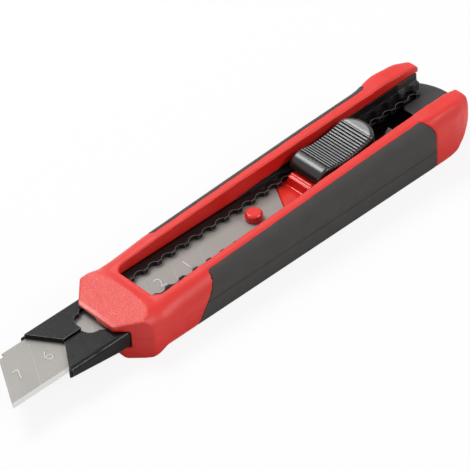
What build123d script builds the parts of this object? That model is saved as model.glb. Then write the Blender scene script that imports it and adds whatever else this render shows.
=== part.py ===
"""Snap-off utility knife, 18 mm blade.

Millimetres.  +X points out along the blade, +Y is the side of the cutting edge,
+Z is up, on the side of the thumb slider.  The origin is on the underside, below
the middle of the overall length.  Places along the knife are given as distances
behind the front of the nose, turned into X by behind().
"""
from build123d import *
from math import radians, sin, tan
import os

os.makedirs("parts", exist_ok=True)

# ---- overall ---------------------------------------------------------------
blade_reach = 36.5           # blade tip ahead of the nose at rest
blade_level = 8.6            # upper face of the blade above the underside
tail_room = 9.0              # behind the magazine, for the end cap

# ---- fits ------------------------------------------------------------------
flange_gap = 0.05            # play under and over the channel flanges
floor_clearance = 0.1        # carriage above the channel floor
neck_gap = 0.35              # carrier neck in the slot
housing_gap = 0.05           # channel in its slot in the housing
cap_gap = 0.15               # end cap in the housing
pin_gap = 0.15               # lock stem in the carrier

# ---- housing ---------------------------------------------------------------
side_wall = 4.7              # from the channel to the outside of the grips
nose_swell = 0.1             # nose wider than the body on each side
tail_taper = 1.7             # tail narrower than the body on each side
nose_height = 15.0           # before the facet is cut
valley_height = 13.6         # between the ridge of the nose and the rails
valley_place = 12.8
waist_height = 13.8
grip_front_height = 14.7
grip_middle_height = 16.0
slider_height = 17.3
grip_rear_height = 17.9
horn_height = 17.2           # at the very end
horn_top_height = 18.4
swell_steps = 4
horn_flat_half_width = 12.3
rail_flat_half_width = 9.6
nose_flat_half_width = 8.6
nose_side_height = 8.8       # where the upright side of the nose ends
bottom_radius = 3.3
nose_bottom_radius = 1.6
floor_thickness = 1.7
parting_level = 7.1          # joint between the upper and the lower shell

nose_front_half_width = 6.9
nose_cheek_length = 7.8
nose_side_length = 9.5
facet_front_height = 11.2
facet_length = 11.0
facet_rise = 0.3             # of the facet, for each millimetre of length
nose_lip_height = 4.0        # height of the raked lower lip
nose_lip_setback = 2.2

window_start = 14.5
window_half_width = 8.3
window_rear_half_width = 7.3
window_taper_start = 60.0
window_corner_radius = 3.0
nose_crown = 0.5             # middle of the nose above the edges of its flat top

horn_setback = 4.1           # horns end ahead of the end cap
horn_end_radius = 1.3
horn_end_height = 17.5
tail_slope_length = 16.0
tail_slope_height = 12.0
tail_bulge_setback = 3.6
tail_bulge_height = 4.8
tail_corner_radius = 3.0

guide_start = 59.0
guide_knee = 103.0
guide_knee_height = 14.5
guide_rear_height = 14.9
guide_thickness = 1.1        # let into the rail
guide_half_width = 6.45      # between the teeth of the two strips
ledge_start = 64.0           # the toothed ledge at the foot of each strip
ledge_rear_height = 12.5

# ---- grips -----------------------------------------------------------------
grip_thickness = 1.8
grip_edge_half_width = 11.0
grip_top_start = 32.5
grip_bottom_start = 23.5
grip_end_setback = 19.5
grip_front_rake = 2.0
grip_corner_radius = 7.0
crease_width = 0.5
crease_depth = 0.3

# ---- blade channel ---------------------------------------------------------
blade_side_gap = 0.2         # blade in the channel
channel_height = 5.4         # inside the handle
channel_front_height = 3.2   # at the notched front
sheet = 0.8
bend_radius = 1.2
channel_front = 17.8         # far corner ahead of the nose
channel_setback = 6.8        # channel ends ahead of the back of the end cap
notch_depth = 6.7
notch_offset = 0.1
flap_gap = 0.3
hem_inset = 0.9              # hem behind the bend of the spine side
slot_front = 5.0             # slot start ahead of the nose
slot_offset = -0.85          # slot lies nearer the spine
slot_half_width = 4.15
slot_end_radius = 3.0
scallop_pitch = 5.0
scallop_radius = 2.0
scallop_depth = 1.0
scallop_first = 5.2          # first scallop behind the slot start

# ---- blade -----------------------------------------------------------------
blade_width = 18.0
blade_thickness = 0.5
blade_length = 100.0
segment_pitch = 10.0
segment_slant = 10.0
segment_count = 7
bevel_width = 1.7
bevel_land = 0.04
score_width = 0.3
score_depth = 0.1
tail_hole_radius = 1.7
tail_hole_setback = 4.9
tail_hole_offset = -0.6      # nearer the spine
corner_bite = 1.2
slit_length = 12.0           # slit in the front of the channel

# ---- carriage --------------------------------------------------------------
carrier_length = 26.9        # behind the front of the deck
carrier_front_gap = 0.4
tongue_half_width = 6.0
tongue_length = 24.0
tongue_reach = 4.5
peg_radius = 1.5
button_radius = 2.6
button_height = 2.4
button_chamfer = 0.6
deck_setback = 1.6           # deck behind the tail of the blade
deck_length = 24.5
deck_side_gap = 0.3
deck_half_width = 4.2
deck_level = 11.6            # top of the deck above the underside
ridge_setback = 1.0
ridge_length = 0.9
ridge_height = 0.5
lock_setback = 10.1          # lock plate behind the front of the deck
lock_pair = 2                # scallops that the lock plate fills
lock_core = 1.2
lock_pocket_gap = 0.45
lock_thickness = 0.7
lock_lug_gap = 0.12
stem_radius = 2.0
press_travel = 1.1

# ---- thumb slider ----------------------------------------------------------
slider_setback = 2.2         # slider behind the front of the deck
slider_length = 24.6
slider_half_width = 6.2
slider_skirt = 3.0           # skirt edge above the blade
slider_front_lip = 4.3
slider_nose_top = 7.9
slider_saddle = 7.2
slider_back_top = 8.9
slider_rim_top = 9.3
slider_nose_length = 4.0
slider_saddle_place = 9.2
slider_back_place = 20.2
slider_end_sagitta = 3.2
slider_corner_radius = 2.0
slider_edge_radius = 1.0
rib_count = 16
rib_width = 0.5
rib_depth = 0.6
slider_roof = 5.6            # inside of the roof above the blade
slider_wall = 1.4

# ---- springs, screws, spares ----------------------------------------------
leaf_thickness = 0.3
lock_spring_width = 3.0
lock_spring_length = 7.0
brake_length = 10.4
brake_width = 4.0
brake_grip = 4.0
brake_level = 7.4
brake_kick = 3.1
brake_bend = 3.0             # straight ends beside each bend
screw_head_radius = 1.7
screw_head_height = 1.3
screw_shank_radius = 1.0
screw_clearance = 0.15
screw_recess = 0.7
screw_length = 11.0
screw_slot_width = 0.7
screw_front = 9.0
screw_setback = 2.3          # rear screws behind the grips
screw_side_gap = 1.45        # screw axis beside the channel
rivet_radius = 1.3
rivet_head_radius = 2.2
rivet_place = 6.0
rivet_offset = 5.0
rivet_length = 3.4
spare_count = 2
spare_gap = 0.05
magazine_side_gap = 0.25
magazine_start = 15.5
magazine_spring_width = 8.0
magazine_spring_length = 70.0

# ---- end cap ---------------------------------------------------------------
cap_sagitta = 3.0
cap_cheek_length = 13.0
cap_cheek_height = 15.0
cap_cheek_setback = 0.8      # cheeks end inside the horns
cap_side_gap = 0.1           # cap narrower than the channel on each side
cap_wall = 2.0
cap_roof = 0.9
cap_tongue_thickness = 0.7
cap_tongue_length = 7.5      # covers the rear of the slot, ahead of the cap

# ---- worked out from the above --------------------------------------------
channel_half_width = blade_width / 2 + blade_side_gap + sheet
body_half_width = channel_half_width + side_wall
nose_half_width = body_half_width + nose_swell
tail_half_width = body_half_width - tail_taper
screw_offset = channel_half_width + screw_side_gap
magazine_half_width = blade_width / 2 + magazine_side_gap
cap_cheek_outer = channel_half_width - cap_side_gap
handle_length = magazine_start + blade_length + segment_slant + tail_room
horn_length = handle_length - horn_setback
grip_end = handle_length - grip_end_setback
channel_rear = handle_length - channel_setback
cap_cheek_start = handle_length - cap_cheek_length
screw_places = (screw_front, grip_end + screw_setback)
tail_hole_distance = blade_length - tail_hole_setback
deck_front = blade_length - blade_reach + segment_slant + deck_setback
deck_rear = deck_front + deck_length
carrier_rear = deck_front + carrier_length
slider_front = deck_front + slider_setback
slider_rear = slider_front + slider_length
nose_x = (handle_length - blade_reach) / 2
tip_x = nose_x + blade_reach


def behind(distance):
    """X of a place that lies this far behind the front of the nose."""
    return nose_x - distance


channel_top = blade_level + flange_gap + sheet
channel_bottom = channel_top - channel_height
channel_floor = channel_bottom + sheet
flange_under = channel_top - sheet
hem_top = channel_top + sheet
slot_level = hem_top + flange_gap
blade_under = blade_level - blade_thickness
cavity_half_width = channel_half_width + housing_gap


def scallop_x(number):
    """X of the middle of a scallop, counted from the front of the slot."""
    return nose_x + slot_front - scallop_first - scallop_pitch * number


# The outline across the handle at each station, front to back: distance behind the
# nose, half width, height, half width of the flat top, height where the upright
# side ends, bottom corner radius and crown of the flat top.
nose_section = (
    nose_half_width, nose_height, nose_flat_half_width, nose_side_height, nose_bottom_radius, nose_crown,
)
flat = rail_flat_half_width
horn_flat = horn_flat_half_width
stations = [
    (-2.0, *nose_section),
    (nose_side_length, *nose_section),
    (valley_place, body_half_width, valley_height, nose_flat_half_width, 8.2, bottom_radius, nose_crown / 2),
    (nose_side_length + 8, body_half_width, waist_height, nose_flat_half_width, 7.4, bottom_radius, 0),
    (grip_top_start - 2.5, body_half_width, grip_front_height, flat, 8.6, bottom_radius, 0),
    (60.0, body_half_width, grip_middle_height, flat, 10.2, bottom_radius, 0),
    (90.0, body_half_width, slider_height, flat, 11.6, bottom_radius, 0),
    (grip_end - 6, body_half_width, grip_rear_height - 0.1, flat, 12.2, bottom_radius, 0),
    (grip_end + 2.5, body_half_width, horn_top_height, horn_flat, 13.8, bottom_radius, 0),
    (grip_end + 9, body_half_width - 0.2, horn_top_height - 0.2, horn_flat - 0.5, 13.5, bottom_radius, 0),
    (horn_length + 1.6, tail_half_width - 0.4, horn_height, flat, 12.8, bottom_radius, 0),
]
plain_count = 7              # stations before the rails begin to swell into the horns


def eased(share):
    """Share of the way from one station to the next, without a kink at either."""
    return share * share * (3 - 2 * share)


def eased_stations():
    """The stations, with soft steps put in between where the horns swell."""
    places = list(stations[:plain_count])
    for here, there in zip(stations[plain_count:], stations[plain_count + 1:]):
        for step in range(swell_steps):
            share = step / swell_steps
            place = here[0] + share * (there[0] - here[0])
            places.append((place, *[a + eased(share) * (b - a) for a, b in zip(here[1:], there[1:])]))
    return places + [stations[-1]]


def handle_section(place, half_width, height, flat, side_top, radius, crown, inset):
    """Closed outline across the handle at one station, set in by inset."""
    side = half_width - inset
    base = inset
    top = height - inset
    corner = max(radius - inset, 0.8)
    shoulder = 0.55
    flat_end = flat - 0.4 * inset
    crown_slope = 2 * crown / flat_end
    middle = corner * sin(radians(45))
    with BuildSketch(Plane.YZ.offset(behind(place))) as section:
        with BuildLine():
            Line((0, base), (side - corner, base))
            ThreePointArc(
                (side - corner, base),
                (side - corner + middle, base + corner - middle),
                (side, base + corner),
            )
            Line((side, base + corner), (side, side_top))
            Bezier(
                (side, side_top),
                (side, side_top + shoulder * (top - crown - side_top)),
                (flat_end + shoulder * (side - flat_end), top - crown - crown_slope * shoulder * (side - flat_end)),
                (flat_end, top - crown),
            )
            Bezier((flat_end, top - crown), (flat_end / 2, top), (0, top))
            mirror(about=Plane.YZ)
        make_face()
    return section.sketch


def handle_solid(inset):
    """The whole outer form of the handle, or the same form set in all round."""
    with BuildPart() as form:
        loft(sections=[handle_section(*station, inset) for station in eased_stations()], ruled=True)
    return form.part


outer_form = handle_solid(0)
inner_form = handle_solid(grip_thickness)

# Plan outline that the handle is trimmed to: blunt nose, cheeks and rounded tail.
with BuildPart() as plan_trim:
    with BuildSketch():
        with BuildLine():
            Polyline(
                (behind(0), nose_front_half_width),
                (behind(nose_cheek_length), nose_half_width),
                (behind(nose_side_length + 6), body_half_width + 1),
                (behind(grip_end), body_half_width + 1),
                (behind(horn_length), tail_half_width + 0.4),
                (behind(horn_length), -tail_half_width - 0.4),
                (behind(grip_end), -body_half_width - 1),
                (behind(nose_side_length + 6), -body_half_width - 1),
                (behind(nose_cheek_length), -nose_half_width),
                (behind(0), -nose_front_half_width),
                close=True,
            )
        make_face()
        fillet(vertices().group_by(Axis.X)[0], radius=tail_corner_radius)
    extrude(amount=grip_rear_height + 5)

# Side outline that the handle is trimmed to: sloping facet, level back, raked tail.
with BuildPart() as side_trim:
    with BuildSketch(Plane.XZ):
        with BuildLine():
            facet_top = facet_front_height + facet_rise * facet_length
            Polyline(
                (behind(horn_length - tail_slope_length + horn_setback), 0),
                (behind(nose_lip_setback), 0),
                (behind(0), nose_lip_height),
                (behind(0), facet_front_height),
                (behind(facet_length), facet_top),
                (behind(facet_length), horn_top_height + 2),
                (behind(horn_length - horn_end_radius), horn_top_height + 2),
                (behind(horn_length - horn_end_radius), horn_end_height),
            )
            end_bulge = horn_end_radius * (1 - sin(radians(45)))
            ThreePointArc(
                (behind(horn_length - horn_end_radius), horn_end_height),
                (behind(horn_length - end_bulge), horn_end_height - end_bulge),
                (behind(horn_length), horn_end_height - horn_end_radius),
            )
            Line(
                (behind(horn_length), horn_end_height - horn_end_radius),
                (behind(horn_length), tail_slope_height),
            )
            ThreePointArc(
                (behind(horn_length), tail_slope_height),
                (behind(horn_length - tail_bulge_setback), tail_bulge_height),
                (behind(horn_length - tail_slope_length + horn_setback), 0),
            )
        make_face()
    extrude(amount=nose_half_width + 2, both=True)

# Everything that is hollow inside both shells.
with BuildPart() as cavity:
    with BuildSketch(Plane.YZ.offset(behind(-5))):
        with Locations((0, (channel_bottom + channel_top + housing_gap) / 2)):
            Rectangle(2 * cavity_half_width, channel_top + housing_gap - channel_bottom)
        hem_room = channel_half_width - hem_inset + 2 * housing_gap + notch_offset
        with Locations((notch_offset + housing_gap - hem_room / 2, (channel_top + slot_level) / 2)):
            Rectangle(hem_room, slot_level - channel_top)
    extrude(amount=-(handle_length + 10))
    with BuildSketch(Plane.XY.offset(channel_top)):
        with BuildLine():
            Polyline(
                (behind(window_start), window_half_width),
                (behind(window_taper_start), window_half_width),
                (behind(handle_length), window_rear_half_width),
                (behind(handle_length), -window_rear_half_width),
                (behind(window_taper_start), -window_half_width),
                (behind(window_start), -window_half_width),
                close=True,
            )
        make_face()
        fillet(vertices().group_by(Axis.X)[-1], radius=window_corner_radius)
    extrude(amount=grip_rear_height)
    with BuildSketch(Plane.XY.offset(floor_thickness)):
        with Locations((behind((magazine_start + handle_length) / 2), 0)):
            Rectangle(handle_length - magazine_start, 2 * magazine_half_width)
    extrude(amount=channel_bottom - floor_thickness + flange_gap)
    with BuildSketch(Plane.XY.offset(floor_thickness)):
        with Locations((behind((cap_cheek_start + handle_length) / 2), 0)):
            Rectangle(handle_length - cap_cheek_start, 2 * (cap_cheek_outer + cap_gap))
    extrude(amount=cap_cheek_height + cap_gap - floor_thickness)


# The block that the shells and the grips are cut from.
with BuildPart() as handle_block:
    add(outer_form)
    add(plan_trim.part, mode=Mode.INTERSECT)
    add(side_trim.part, mode=Mode.INTERSECT)

# Where the rubber lies: long side fields, kept off the flat of the rails.
with BuildPart() as grip_field:
    with BuildSketch(Plane.XZ):
        with BuildLine():
            Polyline(
                (behind(grip_bottom_start), -1),
                (behind(grip_bottom_start), floor_thickness),
                (behind(grip_top_start - grip_front_rake), grip_front_height - 2.2),
                (behind(grip_top_start), grip_rear_height + 1),
                (behind(grip_end), grip_rear_height + 1),
                (behind(grip_end), -1),
                close=True,
            )
        make_face()
        fillet(vertices().group_by(Axis.X)[0].sort_by(Axis.Y)[-1], radius=grip_corner_radius)
    extrude(amount=nose_half_width + 2, both=True)
    with BuildSketch(Plane.XY.offset(-2)):
        with Locations((behind(grip_end / 2), 0)):
            Rectangle(2 * handle_length, 2 * grip_edge_half_width)
    extrude(amount=grip_rear_height + 5, mode=Mode.SUBTRACT)

with BuildPart() as grip_skin:
    add(handle_block.part)
    add(inner_form, mode=Mode.SUBTRACT)
    add(grip_field.part, mode=Mode.INTERSECT)

# Where the strips that line the foot of the rails lie: taller toward the rear.
with BuildPart() as guide_block:
    with BuildSketch(Plane.XY.offset(slot_level)):
        with BuildLine():
            guide_outer = guide_thickness + window_half_width
            guide_rear_outer = guide_thickness + window_rear_half_width
            Polyline(
                (behind(guide_start), guide_outer),
                (behind(window_taper_start), guide_outer),
                (behind(handle_length), guide_rear_outer),
                (behind(handle_length), -guide_rear_outer),
                (behind(window_taper_start), -guide_outer),
                (behind(guide_start), -guide_outer),
                close=True,
            )
        make_face()
    extrude(amount=guide_rear_height - slot_level)
    with BuildSketch(Plane.XZ):
        with BuildLine():
            Polyline(
                (behind(guide_start), slot_level),
                (behind(cap_cheek_start), slot_level),
                (behind(cap_cheek_start), guide_rear_height),
                (behind(guide_knee), guide_knee_height),
                close=True,
            )
        make_face()
    extrude(amount=nose_half_width, both=True, mode=Mode.INTERSECT)

# The free space between the two strips: the window above, and below it the gap
# between the two rows of teeth along the ledges.
with BuildPart() as tooth_gap:
    add(cavity.part)
    with BuildSketch(Plane.XZ):
        with BuildLine():
            Polyline(
                (behind(ledge_start), slot_level),
                (behind(cap_cheek_start + 1), slot_level),
                (behind(cap_cheek_start + 1), ledge_rear_height),
                close=True,
            )
        make_face()
    extrude(amount=nose_half_width, both=True, mode=Mode.SUBTRACT)
    with BuildSketch(Plane.XY.offset(slot_level)):
        with Locations((behind(handle_length / 2), 0)):
            Rectangle(handle_length, 2 * guide_half_width)
        tooth_side = guide_half_width + scallop_depth - scallop_radius
        with Locations(*[(scallop_x(number), side * tooth_side)
                         for number in range(int(handle_length / scallop_pitch)) for side in (-1, 1)]):
            Circle(scallop_radius)
    extrude(amount=ledge_rear_height - slot_level)

with BuildPart() as shell_stock:
    add(handle_block.part)
    add(grip_skin.part, mode=Mode.SUBTRACT)
    add(cavity.part, mode=Mode.SUBTRACT)
    add(guide_block.part, mode=Mode.SUBTRACT)

parting = Plane.XY.offset(parting_level)

# ---- upper shell: nose, rails and horns ------------------------------------
with BuildPart() as housing_upper:
    add(shell_stock.part)
    split(bisect_by=parting, keep=Keep.TOP)
    # blind pilots for the housing screws
    with Locations(*[(behind(place), side * screw_offset, screw_recess)
                     for place in screw_places for side in (-1, 1)]):
        Cylinder(
            screw_shank_radius,
            screw_length,
            align=(Align.CENTER, Align.CENTER, Align.MIN),
            mode=Mode.SUBTRACT,
        )
housing_upper.part.label = "housing_upper"
export_step(housing_upper.part, "parts/housing_upper.step")

# ---- lower shell: floor, magazine and channel ledges -----------------------
with BuildPart() as housing_lower:
    add(shell_stock.part)
    split(bisect_by=parting, keep=Keep.BOTTOM)
    with Locations(*[(behind(place), side * screw_offset, -1)
                     for place in screw_places for side in (-1, 1)]):
        Cylinder(
            screw_head_radius + screw_clearance,
            1 + screw_recess + screw_head_height,
            align=(Align.CENTER, Align.CENTER, Align.MIN),
            mode=Mode.SUBTRACT,
        )
        Cylinder(
            screw_shank_radius + screw_clearance,
            parting_level + 2,
            align=(Align.CENTER, Align.CENTER, Align.MIN),
            mode=Mode.SUBTRACT,
        )
    with Locations(*[(behind(rivet_place), side * rivet_offset, channel_floor - rivet_length)
                     for side in (-1, 1)]):
        Cylinder(
            rivet_radius,
            rivet_length,
            align=(Align.CENTER, Align.CENTER, Align.MIN),
            mode=Mode.SUBTRACT,
        )
housing_lower.part.label = "housing_lower"
export_step(housing_lower.part, "parts/housing_lower.step")

# ---- black toothed strips let into the inner walls of the rails --------------
for side_name, side in (("left", -1), ("right", 1)):
    with BuildPart() as rail_guide:
        add(guide_block.part)
        add(tooth_gap.part, mode=Mode.SUBTRACT)
        split(bisect_by=Plane.XZ, keep=Keep.BOTTOM if side > 0 else Keep.TOP)
    guide_name = f"rail_guide_{side_name}"
    rail_guide.part.label = guide_name
    export_step(rail_guide.part, f"parts/{guide_name}.step")

# ---- rubber pads: one above and one below the parting on each side ---------
for side_name, side_keep in (("left", Keep.BOTTOM), ("right", Keep.TOP)):
    for level_name, level_keep, crease_shift in (("upper", Keep.TOP, 0.5), ("lower", Keep.BOTTOM, -0.5)):
        with BuildPart() as grip_pad:
            add(grip_skin.part)
            split(bisect_by=Plane.XZ, keep=side_keep)
            split(bisect_by=parting, keep=level_keep)
            # half of the shallow crease along the joint
            crease_level = parting_level + crease_shift * crease_width / 2
            for side in (-1, 1):
                with Locations((0, side * body_half_width, crease_level)):
                    Box(handle_length * 2, crease_depth * 2, crease_width / 2, mode=Mode.SUBTRACT)
        pad_name = f"grip_{side_name}_{level_name}"
        grip_pad.part.label = pad_name
        export_step(grip_pad.part, f"parts/{pad_name}.step")

# ---- housing screws ---------------------------------------------------------
with BuildPart() as housing_screws:
    with Locations(*[(behind(place), side * screw_offset, screw_recess)
                     for place in screw_places for side in (-1, 1)]):
        Cylinder(
            screw_head_radius,
            screw_head_height,
            align=(Align.CENTER, Align.CENTER, Align.MIN),
        )
        Cylinder(
            screw_shank_radius,
            screw_length,
            align=(Align.CENTER, Align.CENTER, Align.MIN),
        )
        Box(
            screw_slot_width,
            2.2 * screw_head_radius,
            screw_head_height,
            align=(Align.CENTER, Align.CENTER, Align.CENTER),
            mode=Mode.SUBTRACT,
        )
housing_screws.part.label = "housing_screws"
export_step(housing_screws.part, "parts/housing_screws.step")

# ---- blade channel ----------------------------------------------------------
channel_front_bottom = channel_top - channel_front_height
with BuildPart() as blade_channel:
    with BuildSketch(Plane.YZ.offset(behind(channel_rear))):
        with Locations((0, (channel_top + channel_bottom) / 2)):
            RectangleRounded(2 * channel_half_width, channel_height, bend_radius)
    extrude(amount=channel_rear)
    # ahead of the nose the floor rises toward the notched front
    with BuildSketch(Plane.YZ.offset(behind(0))):
        with Locations((0, (channel_top + channel_bottom) / 2)):
            RectangleRounded(2 * channel_half_width, channel_height, bend_radius)
    with BuildSketch(Plane.YZ.offset(behind(-channel_front))):
        with Locations((0, (channel_top + channel_front_bottom) / 2)):
            RectangleRounded(2 * channel_half_width, channel_front_height, bend_radius)
    loft(ruled=True)
    # hollow inside, following the raised floor of the front
    with BuildSketch(Plane.XZ):
        with BuildLine():
            Polyline(
                (behind(channel_rear + 1), channel_floor),
                (behind(0), channel_floor),
                (behind(-channel_front - 1), channel_front_bottom + sheet),
                (behind(-channel_front - 1), flange_under),
                (behind(channel_rear + 1), flange_under),
                close=True,
            )
        make_face()
    extrude(amount=channel_half_width - sheet, both=True, mode=Mode.SUBTRACT)
    # second layer of the hemmed flange on the spine side
    with BuildSketch(Plane.XY.offset(channel_top)):
        with BuildLine():
            Polyline(
                (behind(channel_rear), -channel_half_width + hem_inset),
                (behind(channel_rear), notch_offset),
                (behind(-channel_front + notch_depth), notch_offset),
                (behind(-channel_front), -channel_half_width + hem_inset),
                close=True,
            )
        make_face()
    extrude(amount=sheet)
    # notched front, cut right through
    with BuildSketch(Plane.XY.offset(channel_bottom - 1)):
        with BuildLine():
            Polyline(
                (behind(-channel_front), -channel_half_width),
                (behind(-channel_front + notch_depth), notch_offset),
                (behind(-channel_front + 0.6), channel_half_width - 1),
                (behind(-channel_front + 1.2), channel_half_width),
                (behind(-channel_front - 2), channel_half_width + 1),
                (behind(-channel_front - 2), -channel_half_width - 1),
                (behind(-channel_front), -channel_half_width - 1),
                close=True,
            )
        make_face()
    extrude(amount=channel_height + 2, mode=Mode.SUBTRACT)
    # slot for the carriage, its scalloped edges and the slit ahead of it
    with BuildSketch(Plane.XY.offset(flange_under - 0.2)):
        with Locations((behind((channel_rear + 2 - slot_front) / 2), slot_offset)):
            Rectangle(channel_rear + 2 + slot_front, 2 * slot_half_width)
        fillet(vertices().group_by(Axis.X)[-1], radius=slot_end_radius)
        scallop_count = int((channel_rear + slot_front - scallop_first) / scallop_pitch) + 1
        scallop_side = slot_half_width + scallop_depth - scallop_radius
        with Locations(*[(scallop_x(number), slot_offset + side * scallop_side)
                         for number in range(scallop_count) for side in (-1, 1)]):
            Circle(scallop_radius)
        with Locations((behind(-slot_front - 5), notch_offset)):
            Rectangle(slit_length, flap_gap)
    extrude(amount=2 * sheet + 0.4, mode=Mode.SUBTRACT)
    with Locations(*[(behind(rivet_place), side * rivet_offset, channel_floor) for side in (-1, 1)]):
        CounterSinkHole(
            radius=rivet_radius,
            counter_sink_radius=rivet_head_radius,
            depth=sheet + 0.1,
            counter_sink_angle=100,
        )
blade_channel.part.label = "blade_channel"
export_step(blade_channel.part, "parts/blade_channel.step")

# ---- rivets that hold the channel in the nose ------------------------------
with BuildPart() as channel_rivets:
    with Locations(*[(behind(rivet_place), side * rivet_offset, channel_floor - rivet_length)
                     for side in (-1, 1)]):
        Cylinder(rivet_radius, rivet_length, align=(Align.CENTER, Align.CENTER, Align.MIN))
    head_depth = (rivet_head_radius - rivet_radius) / tan(radians(50))
    with Locations(*[(behind(rivet_place), side * rivet_offset, channel_floor - head_depth)
                     for side in (-1, 1)]):
        Cone(
            rivet_radius,
            rivet_head_radius,
            head_depth,
            align=(Align.CENTER, Align.CENTER, Align.MIN),
        )
channel_rivets.part.label = "channel_rivets"
export_step(channel_rivets.part, "parts/channel_rivets.step")


# ---- blades -----------------------------------------------------------------
def blade_solid(front, underside):
    """One blade with its tip at X = front, lying on the level underside."""
    half = blade_width / 2
    top = underside + blade_thickness
    middle = underside + blade_thickness / 2
    edge_slope = segment_slant / blade_width
    with BuildPart() as one_blade:
        with BuildSketch(Plane.XY.offset(underside)):
            with BuildLine():
                Polyline(
                    (front, half),
                    (front - segment_slant + corner_bite * edge_slope, -half + corner_bite),
                    (front - segment_slant - corner_bite, -half + corner_bite),
                    (front - segment_slant - corner_bite, -half),
                    (front - blade_length - segment_slant, -half),
                    (front - blade_length, half),
                    close=True,
                )
            make_face()
            with Locations((front - tail_hole_distance, tail_hole_offset)):
                Circle(tail_hole_radius, mode=Mode.SUBTRACT)
        extrude(amount=blade_thickness)
        # ground bevels on both faces
        with BuildSketch(Plane.YZ.offset(front - blade_length - 2)):
            with BuildLine():
                Polyline(
                    (half - bevel_width, top),
                    (half, middle + bevel_land / 2),
                    (half + 1, middle + bevel_land / 2),
                    (half + 1, top + 1),
                    (half - bevel_width, top + 1),
                    close=True,
                )
            make_face()
            with BuildLine():
                Polyline(
                    (half - bevel_width, underside),
                    (half, middle - bevel_land / 2),
                    (half + 1, middle - bevel_land / 2),
                    (half + 1, underside - 1),
                    (half - bevel_width, underside - 1),
                    close=True,
                )
            make_face()
        extrude(amount=blade_length + 4, mode=Mode.SUBTRACT)
        # snap lines across the upper face
        with BuildSketch(Plane.XY.offset(top - score_depth)):
            for number in range(1, segment_count + 1):
                line_front = front - segment_pitch * number + edge_slope + score_width / 2
                line_back = line_front - segment_slant - 2 * edge_slope
                with BuildLine():
                    Polyline(
                        (line_front, half + 1),
                        (line_back, -half - 1),
                        (line_back - score_width, -half - 1),
                        (line_front - score_width, half + 1),
                        close=True,
                    )
                make_face()
        extrude(amount=score_depth + 1, mode=Mode.SUBTRACT)
    return one_blade.part


with BuildPart() as blade:
    add(blade_solid(tip_x, blade_under))
blade.part.label = "blade"
export_step(blade.part, "parts/blade.step")

# spare blades lie one above another in the magazine below the channel
spare_pitch = blade_thickness + spare_gap
for number in range(spare_count):
    spare_level = channel_bottom - spare_pitch * (number + 1)
    with BuildPart() as spare_blade:
        add(blade_solid(behind(magazine_start + 0.5), spare_level))
    spare_name = f"spare_blade_{number + 1}"
    spare_blade.part.label = spare_name
    export_step(spare_blade.part, f"parts/{spare_name}.step")


def bowed_leaf(middle_x, low, high, length, width, thickness):
    """A bowed strip of spring steel: ends at low, crown just under high."""
    with BuildPart() as leaf:
        with BuildSketch(Plane.XZ):
            with BuildLine():
                ThreePointArc(
                    (middle_x - length / 2, low),
                    (middle_x, high - thickness),
                    (middle_x + length / 2, low),
                )
                Line((middle_x + length / 2, low), (middle_x + length / 2, low + thickness))
                ThreePointArc(
                    (middle_x + length / 2, low + thickness),
                    (middle_x, high),
                    (middle_x - length / 2, low + thickness),
                )
                Line((middle_x - length / 2, low + thickness), (middle_x - length / 2, low))
            make_face()
        extrude(amount=width / 2, both=True)
    return leaf.part


with BuildPart() as magazine_spring:
    add(bowed_leaf(
        behind(magazine_start + blade_length / 2 + 5),
        floor_thickness + spare_gap,
        channel_bottom - spare_pitch * spare_count - spare_gap,
        magazine_spring_length,
        magazine_spring_width,
        leaf_thickness,
    ))
magazine_spring.part.label = "magazine_spring"
export_step(magazine_spring.part, "parts/magazine_spring.step")

# ---- blade carrier ----------------------------------------------------------
plate_bottom = channel_floor + floor_clearance
plate_top = flange_under - flange_gap
tail_x = tip_x - blade_length
carrier_half_width = blade_width / 2
deck_top = deck_level
lock_start = deck_front + lock_setback + slot_front - scallop_first
lock_scallop = round(lock_start / scallop_pitch)
lock_front = scallop_x(lock_scallop)
lock_back = scallop_x(lock_scallop + lock_pair - 1)
lock_middle = (lock_front + lock_back) / 2
lock_side = scallop_side
lock_lug = scallop_radius - lock_lug_gap
peg_x = tip_x - tail_hole_distance
neck_half_width = slot_half_width - neck_gap

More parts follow.
